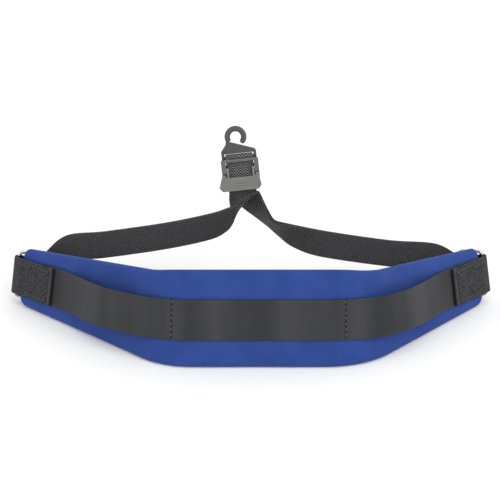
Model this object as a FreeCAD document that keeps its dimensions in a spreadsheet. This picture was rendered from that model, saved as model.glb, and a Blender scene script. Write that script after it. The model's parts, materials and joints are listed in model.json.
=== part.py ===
"""Saxophone neck strap: a padded collar, two webbing legs and an adjustable hook.

The padded collar stands on its lower edge in a C, open to the back (+Y). The two
webbing legs run from rings at its ends to a slider behind it, and the hook hangs in
the loop that the webbing makes above the slider. Millimetres, +Z up, +X to the
wearer's left, origin below the middle of the whole strap on the surface it stands on.
"""
import FreeCAD, Part
import Sketcher
import math
import os
import re

Vector = FreeCAD.Vector
Rotation = FreeCAD.Rotation
Placement = FreeCAD.Placement

doc = FreeCAD.newDocument("neck_strap")

DIMENSIONS = {
    # collar, measured along its lower edge and up its ribs
    "collar_offset_x": 5.2,
    "collar_offset_y": -59.8,
    "centre_half_length": 63.0,
    "bend_lead": 15.0,
    "left_bend_radius": 55.6,
    "left_bend_angle": 40.8,
    "left_arm_length": 149.0,
    "right_bend_radius": 67.0,
    "right_bend_angle": 46.3,
    "right_arm_length": 144.0,
    "centre_height": 72.0,
    "end_height": 44.3,
    "rib_lean": 11.1,
    "core_thickness": 4.4,
    "cloth_thickness": 0.5,
    "layer_gap": 0.05,
    "stitch_diameter": 0.7,
    # strip sewn along the front of the collar
    "strip_width": 30.0,
    "strip_thickness": 1.2,
    "strip_end_height": 22.5,
    "strip_overlap": 12.0,
    "left_strip_slack": 9.0,
    "right_strip_slack": 7.5,
    "strip_free_share": 0.75,
    "stitch_length": 2.0,
    "stitch_pitch": 3.0,
    "seam_pitch": 4.05,
    # tabs folded over the collar's ends
    "tab_width": 29.0,
    "tab_thickness": 1.5,
    "tab_front_length": 35.0,
    "tab_back_length": 28.0,
    "tab_reach": 6.2,
    "tab_clearance": 0.15,
    "tab_flat_end": 0.5,
    "tab_sewn_margin": 3.0,
    "tab_sewn_end": 9.0,
    # rings
    "ring_wire": 2.4,
    "ring_inner_long": 32.0,
    "ring_inner_short": 16.0,
    "ring_corner_radius": 3.2,
    "ring_yaw": 24.0,
    "ring_slack": 0.5,
    # webbing
    "webbing_width": 20.0,
    "webbing_thickness": 1.3,
    "webbing_gap": 0.12,
    "leg_fold_half_gap": 3.0,
    "leg_fold_length": 16.0,
    "leg_ride": 3.0,
    "strand_middle": -0.3,
    "strand_top": 5.6,
    "loop_clearance": 0.12,
    "loop_tail_bottom": -7.4,
    "anchor_clearance": 0.42,
    "anchor_lift": 0.15,
    "anchor_tail_bottom": -11.3,
    # slider, in its own frame: X across, Y back, Z up
    "slider_x": -7.5,
    "slider_y": 43.2,
    "slider_z": 106.5,
    "slider_lean": 18.0,
    "slider_roll": 6.0,
    "channel_width": 20.5,
    "rail_width": 3.3,
    "rail_bottom": -10.5,
    "rail_top": 7.4,
    "rail_front": -2.7,
    "frame_back": 3.0,
    "back_plate_front": 1.6,
    "back_plate_bottom": -7.3,
    "back_plate_top": 4.0,
    "ear_front": -5.0,
    "ear_bottom": -1.2,
    "bridge_back": -3.1,
    "bridge_front": -4.5,
    "bridge_bottom": 6.8,
    "bridge_top": 8.7,
    "anchor_bar_bottom": -10.5,
    "anchor_bar_top": -9.2,
    # cam lever
    "pivot_y": -3.5,
    "pivot_z": 1.4,
    "pivot_diameter": 1.8,
    "pivot_length": 4.0,
    "pivot_clearance": 0.06,
    "pivot_recess": 0.3,
    "pivot_slack": 0.005,
    "arm_width": 1.5,
    "arm_radius": 1.5,
    "arm_side_gap": 0.25,
    "plate_front": -5.4,
    "plate_back": -3.2,
    "plate_top": -4.4,
    "plate_bottom": -14.0,
    "plate_top_width": 20.6,
    "plate_bottom_width": 30.8,
    "plate_bottom_shift": -1.1,
    "plate_corner_rise": 2.8,
    "plate_corner_run": 2.2,
    "plate_arm_top": -1.9,
    "plate_arm_left": -13.5,
    "plate_arm_right": 12.6,
    "plate_arm_width": 1.6,
    "plate_rim": 1.1,
    "plate_rim_width": 1.6,
    "cam_nose_height": 2.2,
    "cam_nose_back": -2.1,
    # hook and its hanger
    "crossbar_z": 9.7,
    "crossbar_diameter": 2.4,
    "hanger_width": 25.4,
    "hanger_side": 2.1,
    "hanger_thickness": 3.2,
    "slot_top": 12.6,
    "hanger_shoulder_top": 19.5,
    "hanger_left_corner": 14.5,
    "hanger_right_corner": 15.6,
    "hook_x": -1.1,
    "hook_z": 24.6,
    "hook_radius": 5.95,
    "hook_rod": 4.1,
    "hook_start_angle": 212.0,
    "hook_end_angle": -34.0,
}

dims = doc.addObject("Spreadsheet::Sheet", "Dims")
for row, (alias, value) in enumerate(DIMENSIONS.items(), start=1):
    dims.set(f"A{row}", alias)
    dims.set(f"B{row}", str(value))
    dims.setAlias(f"B{row}", alias)
doc.recompute()


def size(alias):
    """The value of one cell of the sheet."""
    return float(dims.get(alias))


def bound(expression):
    """An expression for setExpression: each @alias becomes a cell of the sheet."""
    return re.sub(r"@(\w+)", r"Dims.\1", expression)


def evaluate(expression):
    """The value of such an expression."""
    return float(dims.evalExpression(re.sub(r"@(\w+)", r"\1", expression)))


parts = []


def part(obj, label, placement=None):
    """Registers an object as one sub-part of the strap, under its own name."""
    obj.Label = label
    if placement is not None:
        obj.Placement = placement
    parts.append(obj)
    return obj


def feature(label, shape, placement=None):
    """A sub-part whose shape is worked out below from the sheet's sizes."""
    obj = doc.addObject("Part::Feature", label)
    obj.Shape = shape
    return part(obj, label, placement)


def box(name, x_span, y_span, z_span):
    """A box between two expressions along each axis."""
    obj = doc.addObject("Part::Box", name)
    for side, axis, (low, high) in zip(
        ("Length", "Width", "Height"), "xyz", (x_span, y_span, z_span)
    ):
        obj.setExpression(side, bound(f"({high}) - ({low})"))
        obj.setExpression(f".Placement.Base.{axis}", bound(low))
    return obj


def rod_across(name, radius, x_low, x_high, y, z):
    """A cylinder along X between two expressions."""
    obj = doc.addObject("Part::Cylinder", name)
    obj.Placement.Rotation = Rotation(Vector(0, 1, 0), 90)
    obj.setExpression("Radius", bound(radius))
    obj.setExpression("Height", bound(f"({x_high}) - ({x_low})"))
    obj.setExpression(".Placement.Base.x", bound(x_low))
    obj.setExpression(".Placement.Base.y", bound(y))
    obj.setExpression(".Placement.Base.z", bound(z))
    return obj


def fuse(name, *objects):
    obj = doc.addObject("Part::MultiFuse", name)
    obj.Shapes = list(objects)
    obj.Refine = True
    return obj


def cut(name, base, tool):
    obj = doc.addObject("Part::Cut", name)
    obj.Base = base
    obj.Tool = tool
    return obj


def profile_body(name, corners, depth_low, depth_high):
    """A padded sketch: corners are pairs of expressions in the body's XZ plane."""
    body = doc.addObject("PartDesign::Body", name)
    plane = next(f for f in body.Origin.OriginFeatures if f.Role == "XZ_Plane")
    sketch = body.newObject("Sketcher::SketchObject", name + "_sketch")
    sketch.AttachmentSupport = [(plane, "")]
    sketch.MapMode = "FlatFace"
    count = len(corners)
    values = [[evaluate(e) for e in corner] for corner in corners]
    for i in range(count):
        start = Vector(*values[i], 0)
        end = Vector(*values[(i + 1) % count], 0)
        sketch.addGeometry(Part.LineSegment(start, end), False)
    for i in range(count):
        joint = Sketcher.Constraint("Coincident", i, 2, (i + 1) % count, 1)
        sketch.addConstraint(joint)
    for i, (x, z) in enumerate(corners):
        for kind, expression in (("DistanceX", x), ("DistanceY", z)):
            tie = Sketcher.Constraint(kind, -1, 1, i, 1, evaluate(expression))
            number = sketch.addConstraint(tie)
            sketch.setExpression(f"Constraints[{number}]", bound(expression))
    pad = body.newObject("PartDesign::Pad", name + "_pad")
    pad.Profile = sketch
    pad.setExpression("Length", bound(f"({depth_high}) - ({depth_low})"))
    sketch.setExpression(".AttachmentOffset.Base.z", bound(f"-({depth_high})"))
    return body


# ---------------------------------------------------------------- the collar

LEAN = math.radians(size("rib_lean"))
UP = Vector(0, 0, 1)
LEFT, RIGHT = -1, 1
SIDE_NAMES = {LEFT: "left", RIGHT: "right"}


def edge_frame(distance):
    """The collar's lower front edge at a distance along it from the middle.

    Gives the point, the direction along the edge, the rib, which leans in towards
    the neck, and the outward normal of the collar's face.
    """
    side = LEFT if distance < 0 else RIGHT
    name = SIDE_NAMES[side]
    start = size("centre_half_length") - size("bend_lead")
    radius = size(name + "_bend_radius")
    bend = math.radians(size(name + "_bend_angle"))
    along = max(abs(distance) - start, 0)
    turn = min(along / radius, bend)
    straight = max(along - radius * bend, 0)
    x = min(abs(distance), start) + radius * math.sin(turn) + straight * math.cos(turn)
    y = radius * (1 - math.cos(turn)) + straight * math.sin(turn)
    foot = Vector(size("collar_offset_x") + side * x, size("collar_offset_y") + y, 0)
    tangent = Vector(math.cos(turn), side * math.sin(turn), 0)
    outward = tangent.cross(UP)
    rib = UP * math.cos(LEAN) - outward * math.sin(LEAN)
    normal = outward * math.cos(LEAN) + UP * math.sin(LEAN)
    return foot, tangent, rib, normal


def collar_end(side):
    """Signed distance from the middle to one end of the collar."""
    name = SIDE_NAMES[side]
    return side * (size("centre_half_length") + size(name + "_arm_length"))


def arm_share(distance):
    """0 over the centre of the collar, rising to 1 at its end."""
    side = LEFT if distance < 0 else RIGHT
    arm = size(SIDE_NAMES[side] + "_arm_length")
    return max(abs(distance) - size("centre_half_length"), 0) / arm


CORNER_CUT = 5.0


def collar_height(distance):
    """Height of the collar up its rib, with the upper corners cut off."""
    share = arm_share(distance)
    height = size("centre_height") + (size("end_height") - size("centre_height")) * share
    side = LEFT if distance < 0 else RIGHT
    to_end = abs(collar_end(side)) - abs(distance)
    return height - max(CORNER_CUT - to_end, 0)


def strip_height(distance):
    """Height of the strip's centre line up the rib."""
    middle = size("centre_height") / 2
    return middle + (size("strip_end_height") - middle) * arm_share(distance)


def stations(low, high, step=6.0):
    """Distances from low to high at which the collar's sections are drawn."""
    corners = [low, high]
    for side in (LEFT, RIGHT):
        name = SIDE_NAMES[side]
        bend = size(name + "_bend_radius") * math.radians(size(name + "_bend_angle"))
        start = size("centre_half_length") - size("bend_lead")
        end = abs(collar_end(side))
        for mark in (start, size("centre_half_length"), start + bend, end - CORNER_CUT):
            corners.append(side * mark)
    corners = sorted(c for c in set(corners) if low <= c <= high)
    found = [corners[0]]
    for a, b in zip(corners, corners[1:]):
        count = max(1, round((b - a) / step))
        found += [a + (b - a) * i / count for i in range(1, count + 1)]
    return found


def polygon(points):
    return Part.makePolygon(list(points) + [points[0]])


def skin(sections):
    """A closed solid through matching polygon sections."""
    return Part.makeLoft([polygon(s) for s in sections], True, True)


def collar_layer(front, back, lift):
    """One layer of the collar between two depths; its foot is level with the floor."""
    sections = []
    for distance in stations(collar_end(LEFT), collar_end(RIGHT)):
        foot, _, rib, normal = edge_frame(distance)
        top = collar_height(distance)
        section = []
        for depth, ends in ((front, (0, 1)), (back, (1, 0))):
            level = (lift - depth * math.sin(LEAN)) / math.cos(LEAN)
            for end in ends:
                up = top if end else level
                section.append(foot + rib * up + normal * depth)
        sections.append(section)
    return skin(sections)


SKIN_LIFT = 0.15
cloth = size("cloth_thickness")
gap = size("layer_gap")
core_front = -cloth - gap
core_back = core_front - size("core_thickness")
collar_back = core_back - gap - cloth
feature("front_jersey", collar_layer(0, -cloth, SKIN_LIFT))
feature("pad_core", collar_layer(core_front, core_back, 0))
feature("back_lining", collar_layer(core_back - gap, collar_back, SKIN_LIFT))


def strip_slack(distance):
    """How far the strip stands off the collar: it is sewn at its seams and ends."""
    side = LEFT if distance < 0 else RIGHT
    reach = min(arm_share(distance) / size("strip_free_share"), 1)
    slack = size(SIDE_NAMES[side] + "_strip_slack")
    return slack * math.sin(math.pi * reach) ** 2


def strip_end(side):
    under_tab = size("tab_front_length") - size("strip_overlap")
    return collar_end(side) - side * under_tab


def strip_shape():
    sections = []
    half = size("strip_width") / 2
    for distance in stations(strip_end(LEFT), strip_end(RIGHT)):
        foot, _, rib, normal = edge_frame(distance)
        inner = gap + strip_slack(distance)
        outer = inner + size("strip_thickness")
        middle = strip_height(distance)
        section = []
        for depth, up in ((outer, -half), (outer, half), (inner, half), (inner, -half)):
            section.append(foot + rib * (middle + up) + normal * depth)
        sections.append(section)
    return skin(sections)


feature("front_strip", strip_shape())


def stitch_row(starts):
    """Short rods laid along the collar's face, one for each visible stitch."""
    radius = size("stitch_diameter") / 2
    rods = []
    for point, direction in starts:
        rods.append(Part.makeCylinder(radius, size("stitch_length"), point, direction))
    return Part.makeCompound(rods)


FIRST_STITCH = 0.45


def strip_seam(side):
    """An upright row of stitches that holds the strip where the collar bends."""
    pitch = size("seam_pitch")
    distance = side * size("centre_half_length")
    foot, _, rib, normal = edge_frame(distance)
    low = strip_height(distance) - size("strip_width") / 2
    outer = gap + size("strip_thickness") + size("stitch_diameter") / 2
    starts = []
    for i in range(int(size("strip_width") / pitch)):
        up = low + pitch * (i + FIRST_STITCH)
        starts.append((foot + rib * up + normal * outer, rib))
    return stitch_row(starts)


for side in (LEFT, RIGHT):
    feature(SIDE_NAMES[side] + "_strip_stitches", strip_seam(side))

# ---------------------------------------------------------------- tabs and rings


def arc_points(centre, radius, start, end, count):
    """Points of an arc in a plane, angles in degrees."""
    found = []
    for i in range(count + 1):
        angle = math.radians(start + (end - start) * i / count)
        found.append((centre[0] + radius * math.cos(angle), centre[1] + radius * math.sin(angle)))
    return found


def thick_outline(path, thickness):
    """Closed outline of a band that lies to the left of a path in a plane."""
    offset = []
    for i, (x, y) in enumerate(path):
        before = path[max(i - 1, 0)]
        after = path[min(i + 1, len(path) - 1)]
        normals = []
        for (ax, ay), (bx, by) in ((before, (x, y)), ((x, y), after)):
            length = math.hypot(bx - ax, by - ay)
            if length > 0:
                normals.append((-(by - ay) / length, (bx - ax) / length))
        nx = sum(n[0] for n in normals) / len(normals)
        ny = sum(n[1] for n in normals) / len(normals)
        square = nx * nx + ny * ny
        offset.append((x + nx / square * thickness, y + ny / square * thickness))
    return path + offset[::-1]


RING_DEPTH = collar_back / 2
TAB_FOLD_ANGLE = 75
TAB_FOLD_STEPS = 8
ring_hole = size("ring_wire") / 2 + size("ring_slack")


def tab_slope(side):
    """Rise of the strip's centre line for each millimetre out towards the end."""
    arm = size(SIDE_NAMES[side] + "_arm_length")
    return (size("strip_end_height") - size("centre_height") / 2) / arm


def tab_shape(side):
    """Webbing sewn on the front, folded round the ring and sewn on the back."""
    reach = size("tab_reach")
    front = gap + size("strip_thickness") + size("tab_clearance")
    back = collar_back - size("tab_clearance")
    edge = size("tab_flat_end")
    inner = [(-size("tab_front_length"), front), (edge, front)]
    inner += arc_points(
        (reach, RING_DEPTH), ring_hole, TAB_FOLD_ANGLE, -TAB_FOLD_ANGLE, TAB_FOLD_STEPS
    )
    inner += [(edge, back), (-size("tab_back_length"), back)]
    outline = thick_outline(inner, size("tab_thickness"))
    foot, tangent, rib, normal = edge_frame(collar_end(side))
    outwards = tangent * side + rib * tab_slope(side)
    low = foot + rib * (size("strip_end_height") - size("tab_width") / 2)
    points = [low + outwards * a + normal * b for a, b in outline]
    return Part.Face(polygon(points)).extrude(rib * size("tab_width"))


def ring_frame(side):
    """The ring's pivot in the tab's fold, its upright direction and its reach."""
    foot, tangent, rib, normal = edge_frame(collar_end(side))
    outwards = tangent * side + rib * tab_slope(side)
    pivot = foot + rib * size("strip_end_height") + outwards * size("tab_reach")
    pivot += normal * RING_DEPTH
    yaw = math.radians(size("ring_yaw"))
    inwards = Vector(-side * math.cos(yaw), math.sin(yaw), 0)
    inwards = (inwards - rib * inwards.dot(rib)).normalize()
    return pivot, rib, inwards


def ring_bars(side):
    """Centres of the ring's two long bars."""
    pivot, rib, inwards = ring_frame(side)
    return pivot, pivot + inwards * (size("ring_inner_short") + size("ring_wire"))


def ring_shape(side):
    """A wire ring: four straight bars and four bent corners."""
    pivot, rib, inwards = ring_frame(side)
    radius = size("ring_corner_radius")
    half = (size("ring_inner_long") + size("ring_wire")) / 2
    width = size("ring_inner_short") + size("ring_wire")
    corners = ((0, -1), (0, 1), (1, 1), (1, -1))
    centres = []
    for far, up in corners:
        along = width - radius if far else radius
        centres.append(pivot + inwards * along + rib * up * (half - radius))
    outs = (inwards * -1, rib, inwards, rib * -1)
    edges = []
    for i, centre in enumerate(centres):
        first = outs[(i - 1) % 4]
        last = outs[i]
        start = centre + first * radius
        middle = centre + (first + last).normalize() * radius
        end = centre + last * radius
        following = centres[(i + 1) % 4] + last * radius
        edges.append(Part.Arc(start, middle, end).toShape())
        edges.append(Part.makeLine(end, following))
    spine = Part.Wire(edges)
    direction = edges[0].tangentAt(edges[0].FirstParameter)
    origin = edges[0].valueAt(edges[0].FirstParameter)
    circle = Part.Wire(Part.makeCircle(size("ring_wire") / 2, origin, direction))
    return spine.makePipeShell([circle], True, False)


TAB_STITCH_START = 0.2


def tab_stitches(side):
    """Rows of stitches on the front of the tab, in a box with a cross."""
    foot, tangent, rib, normal = edge_frame(collar_end(side))
    outwards = tangent * side + rib * tab_slope(side)
    outer = gap + size("strip_thickness") + size("tab_clearance") + size("tab_thickness")
    depth = outer + size("stitch_diameter") / 2
    centre = foot + rib * size("strip_end_height") + normal * depth
    margin = size("tab_sewn_margin")
    near, far = margin - size("tab_front_length"), -size("tab_sewn_end")
    half = size("tab_width") / 2 - margin
    lines = [((near, -half), (near, half)), ((far, -half), (far, half))]
    lines += [((near, half), (far, half)), ((near, -half), (far, -half))]
    lines += [((near, -half), (far, half)), ((near, half), (far, -half))]
    starts = []
    for (a0, h0), (a1, h1) in lines:
        run = outwards * (a1 - a0) + rib * (h1 - h0)
        count = int(run.Length / size("stitch_pitch"))
        for i in range(count):
            at = (i + TAB_STITCH_START) / count
            point = centre + outwards * (a0 + (a1 - a0) * at) + rib * (h0 + (h1 - h0) * at)
            starts.append((point, run))
    return stitch_row(starts)


for side in (LEFT, RIGHT):
    name = SIDE_NAMES[side]
    feature(name + "_tab", tab_shape(side))
    feature(name + "_tab_stitches", tab_stitches(side))
    feature(name + "_ring", ring_shape(side))

# ---------------------------------------------------------------- the slider

slider_place = Placement(
    Vector(size("slider_x"), size("slider_y"), size("slider_z")),
    Rotation(Vector(1, 0, 0), -size("slider_lean"))
    * Rotation(Vector(0, 1, 0), -size("slider_roll")),
)

rails = []
for side in (LEFT, RIGHT):
    name = SIDE_NAMES[side]
    near = "@channel_width / 2"
    far = "@channel_width / 2 + @rail_width"
    span = (near, far) if side == RIGHT else (f"-({far})", f"-({near})")
    rails.append(
        box(name + "_rail", span, ("@rail_front", "@frame_back"), ("@rail_bottom", "@rail_top"))
    )
    rails.append(
        box(name + "_ear", span, ("@ear_front", "@rail_front"), ("@ear_bottom", "@bridge_top"))
    )
across = ("-@channel_width / 2", "@channel_width / 2")
bridge = box("bridge", across, ("@bridge_front", "@bridge_back"), ("@bridge_bottom", "@bridge_top"))
back_plate = box(
    "back_plate", across, ("@back_plate_front", "@frame_back"),
    ("@back_plate_bottom", "@back_plate_top"),
)
anchor_bar = box(
    "anchor_bar", across, ("@back_plate_front", "@frame_back"),
    ("@anchor_bar_bottom", "@anchor_bar_top"),
)
frame_solid = fuse("frame_solid", *rails, bridge, back_plate, anchor_bar)
pin_holes = rod_across(
    "pin_holes", "@pivot_diameter / 2", "-@channel_width", "@channel_width",
    "@pivot_y", "@pivot_z",
)
part(cut("slider_frame", frame_solid, pin_holes), "slider_frame", slider_place)

pins = []
for side in (LEFT, RIGHT):
    outer = "@channel_width / 2 + @rail_width - @pivot_recess"
    inner = outer + " - @pivot_length - @ring_slack"
    span = (inner, outer) if side == RIGHT else (f"-({outer})", f"-({inner})")
    pins.append(
        rod_across(
            SIDE_NAMES[side] + "_pin", "@pivot_diameter / 2 - @pivot_slack", *span,
            "@pivot_y", "@pivot_z",
        )
    )
part(fuse("pivot_pins", *pins), "pivot_pins", slider_place)

# ---------------------------------------------------------------- the cam lever

arms = []
for side in (LEFT, RIGHT):
    outer = "@channel_width / 2 - @arm_side_gap"
    inner = "@channel_width / 2 - @arm_side_gap - @arm_width"
    span = (inner, outer) if side == RIGHT else (f"-({outer})", f"-({inner})")
    name = SIDE_NAMES[side]
    arms.append(
        box(
            name + "_arm", span, ("@pivot_y - @arm_radius", "@pivot_y + @arm_radius"),
            ("@plate_top - 0.6", "@pivot_z"),
        )
    )
    arms.append(rod_across(name + "_eye", "@arm_radius", *span, "@pivot_y", "@pivot_z"))
nose_span = ("-@channel_width / 2 + @arm_side_gap", "@channel_width / 2 - @arm_side_gap")
nose = box(
    "cam_nose", nose_span, ("@plate_back - 0.2", "@cam_nose_back"),
    ("@plate_top - @cam_nose_height", "@plate_top"),
)
PLATE_LEFT = "@plate_bottom_shift - @plate_bottom_width / 2"
PLATE_RIGHT = "@plate_bottom_shift + @plate_bottom_width / 2"
plate = profile_body(
    "lever_plate",
    [
        ("-@plate_top_width / 2", "@plate_top"),
        ("@plate_arm_left + @plate_arm_width", "@plate_arm_top"),
        ("@plate_arm_left", "@plate_arm_top"),
        (PLATE_LEFT, "@plate_bottom + @plate_corner_rise"),
        (PLATE_LEFT + " + @plate_corner_run", "@plate_bottom"),
        (PLATE_RIGHT + " - @plate_corner_run", "@plate_bottom"),
        (PLATE_RIGHT, "@plate_bottom + @plate_corner_rise"),
        ("@plate_arm_right", "@plate_arm_top"),
        ("@plate_arm_right - @plate_arm_width", "@plate_arm_top"),
        ("@plate_top_width / 2", "@plate_top"),
    ],
    "@plate_front", "@plate_back",
)
lip = box(
    "lever_lip",
    (PLATE_LEFT + " + @plate_corner_run", PLATE_RIGHT + " - @plate_corner_run"),
    ("@plate_front - @plate_rim", "@plate_front + 0.2"),
    ("@plate_bottom", "@plate_bottom + @plate_rim_width"),
)
lever_solid = fuse("lever_solid", *arms, nose, plate, lip)
lever_bore = rod_across(
    "lever_bore", "@pivot_diameter / 2 + @pivot_clearance", "-@channel_width", "@channel_width",
    "@pivot_y", "@pivot_z",
)
part(cut("cam_lever", lever_solid, lever_bore), "cam_lever", slider_place)

# ---------------------------------------------------------------- hook and hanger

legs = []
for side in (LEFT, RIGHT):
    far = "@hanger_width / 2"
    near = "@hanger_width / 2 - @hanger_side"
    span = (near, far) if side == RIGHT else (f"-({far})", f"-({near})")
    name = SIDE_NAMES[side]
    legs.append(
        box(
            name + "_hanger_leg", span, ("-@hanger_thickness / 2", "@hanger_thickness / 2"),
            ("@crossbar_z", "@slot_top + 1"),
        )
    )
    legs.append(
        rod_across(name + "_hanger_foot", "@hanger_thickness / 2", *span, "0", "@crossbar_z")
    )
crossbar = rod_across(
    "hanger_crossbar", "@crossbar_diameter / 2", "-@hanger_width / 2 + 1",
    "@hanger_width / 2 - 1", "0", "@crossbar_z",
)
shoulder = profile_body(
    "hanger_plate",
    [
        ("-@hanger_width / 2", "@slot_top"),
        ("-@hanger_width / 2", "@hanger_left_corner"),
        ("@hook_x - 7.8", "@hanger_shoulder_top"),
        ("@hook_x - 7.6", "@hook_z - 3.2"),
        ("@hook_x - 4.4", "@hook_z - 3.4"),
        ("@hanger_width / 2 - 2.4", "@hanger_right_corner"),
        ("@hanger_width / 2 - 0.6", "@hanger_right_corner - 0.9"),
        ("@hanger_width / 2", "@slot_top + 0.6"),
        ("@hanger_width / 2", "@slot_top"),
    ],
    "-@hanger_thickness / 2", "@hanger_thickness / 2",
)
hook_arc = doc.addObject("Part::Torus", "hook_arc")
hook_arc.setExpression("Radius1", bound("@hook_radius"))
hook_arc.setExpression("Radius2", bound("@hook_rod / 2"))
hook_arc.setExpression("Angle3", bound("@hook_start_angle - @hook_end_angle"))
hook_arc.Placement.Rotation = Rotation(Vector(1, 0, 0), 90) * Rotation(
    Vector(0, 0, 1), size("hook_end_angle")
)
hook_arc.setExpression(".Placement.Base.x", bound("@hook_x"))
hook_arc.setExpression(".Placement.Base.z", bound("@hook_z"))
hook_tip = doc.addObject("Part::Sphere", "hook_tip")
hook_tip.setExpression("Radius", bound("@hook_rod / 2"))
TIP_X = "@hook_x + @hook_radius * cos(@hook_end_angle * 1deg)"
TIP_Z = "@hook_z + @hook_radius * sin(@hook_end_angle * 1deg)"
hook_tip.setExpression(".Placement.Base.x", bound(TIP_X))
hook_tip.setExpression(".Placement.Base.z", bound(TIP_Z))
hanger = fuse("hook_hanger", *legs, crossbar, shoulder, hook_arc, hook_tip)
part(hanger, "hook_hanger", slider_place)

# ---------------------------------------------------------------- webbing

thickness = size("webbing_thickness")
width = size("webbing_width")
strand_front = size("strand_middle") - size("webbing_gap") / 2
strand_back = size("strand_middle") + size("webbing_gap") / 2


def webbing_prism(path, side_of_path, placement, label):
    """Webbing seen edge-on as a path in the slider's YZ plane."""
    outline = thick_outline(path, side_of_path * thickness)
    points = [Vector(-width / 2, y, z) for y, z in outline]
    solid = Part.Face(polygon(points)).extrude(Vector(width, 0, 0))
    return feature(label, solid, placement)


LOOP_START, LOOP_END, LOOP_STEPS = 190, -10, 12
tail_bottom = size("loop_tail_bottom")
loop_inner = size("crossbar_diameter") / 2 + size("loop_clearance")
loop_path = [(strand_front, tail_bottom), (strand_front, size("strand_top"))]
loop_path += arc_points((0, size("crossbar_z")), loop_inner, LOOP_START, LOOP_END, LOOP_STEPS)
loop_path += [(strand_back, size("strand_top")), (strand_back, tail_bottom)]
webbing_prism(loop_path, 1, slider_place, "webbing_loop")

ANCHOR_STEPS = 8
anchor_tail = size("anchor_tail_bottom")
anchor_inner = (size("frame_back") - size("back_plate_front")) / 2 + size("anchor_clearance")
anchor_y = (size("back_plate_front") + size("frame_back")) / 2
anchor_z = (size("anchor_bar_bottom") + size("anchor_bar_top")) / 2 - size("anchor_lift")
anchor_path = [(anchor_y - anchor_inner, anchor_tail)]
anchor_path += arc_points((anchor_y, anchor_z), anchor_inner, 180, 0, ANCHOR_STEPS)
anchor_path += [(anchor_y + anchor_inner, anchor_tail)]
webbing_prism(anchor_path, 1, slider_place, "webbing_anchor")

# Depth and height, in the slider's own frame, of two points where each leg leaves it
LEG_EXITS = {LEFT: ((-1.6, -11.7), (-1.6, -14.0)), RIGHT: ((1.4, -12.1), (1.45, -14.6))}
LEG_SECTIONS = 48
LEG_FOLD_SECTIONS = 8


def blend_points(points, share):
    """A smooth curve through a list of vectors, share running from 0 to 1."""
    at = share * (len(points) - 1)
    i = min(int(at), len(points) - 2)
    t = at - i
    p1, p2 = points[i], points[i + 1]
    p0 = points[i - 1] if i > 0 else p1 * 2 - p2
    p3 = points[i + 2] if i + 2 < len(points) else p2 * 2 - p1
    return (
        p1 * 2
        + (p2 - p0) * t
        + (p0 * 2 - p1 * 5 + p2 * 4 - p3) * t**2
        + (p1 * 3 - p0 - p2 * 3 + p3) * t**3
    ) * 0.5


def leg_frames(side, route, count):
    """Centres, directions and widths of a leg from the slider to its ring."""
    pivot, rib, inwards = ring_frame(side)
    ring_bar = ring_bars(side)[1] + rib * size("leg_ride")
    across_slider = slider_place.Rotation.multVec(Vector(1, 0, 0))
    centres = []
    for depth, height in LEG_EXITS[side]:
        centres.append(slider_place.multVec(Vector(0, depth, height)))
    centres += [Vector(*p) for p, _ in route] + [ring_bar]
    widths = [across_slider] * 2 + [Vector(*w).normalize() for _, w in route] + [rib]
    frames = []
    for i in range(count + 1):
        share = i / count
        centre = blend_points(centres, share)
        step = 0.5 / count
        ahead = blend_points(centres, min(share + step, 1))
        along = (ahead - blend_points(centres, max(share - step, 0))).normalize()
        wide = blend_points(widths, share)
        frames.append((centre, along, wide.normalize()))
    centre, along, wide = frames[-1]
    along = (along - rib * along.dot(rib)).normalize()
    frames[-1] = (centre, along, rib)
    return frames


def leg_shape(side, route):
    """Two layers of webbing from the slider, joined by the fold round the ring."""
    frames = leg_frames(side, route, LEG_SECTIONS)
    closed = thickness / 2 + size("webbing_gap") / 2
    opened = thickness / 2 + size("leg_fold_half_gap")
    end = frames[-1][0]
    out, back = [], []
    for centre, along, wide in frames:
        near = min((end - centre).Length / size("leg_fold_length"), 1)
        share = near * near * (3 - 2 * near)
        apart = opened + (closed - opened) * share
        face = wide.cross(along).normalize()
        out.append((centre + face * apart, face, wide))
        back.append((centre - face * apart, face * -1, wide))
    centre, along, wide = frames[-1]
    face = wide.cross(along)
    turn = []
    for i in range(1, LEG_FOLD_SECTIONS):
        angle = math.pi * i / LEG_FOLD_SECTIONS
        radial = face * math.cos(angle) + along * math.sin(angle)
        turn.append((centre + radial * opened, radial, wide))
    sections = []
    for centre, radial, wide in out + turn + back[::-1]:
        section = []
        for deep, high in ((-1, -1), (1, -1), (1, 1), (-1, 1)):
            section.append(centre + radial * (deep * thickness / 2) + wide * (high * width / 2))
        sections.append(section)
    return skin(sections)


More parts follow.
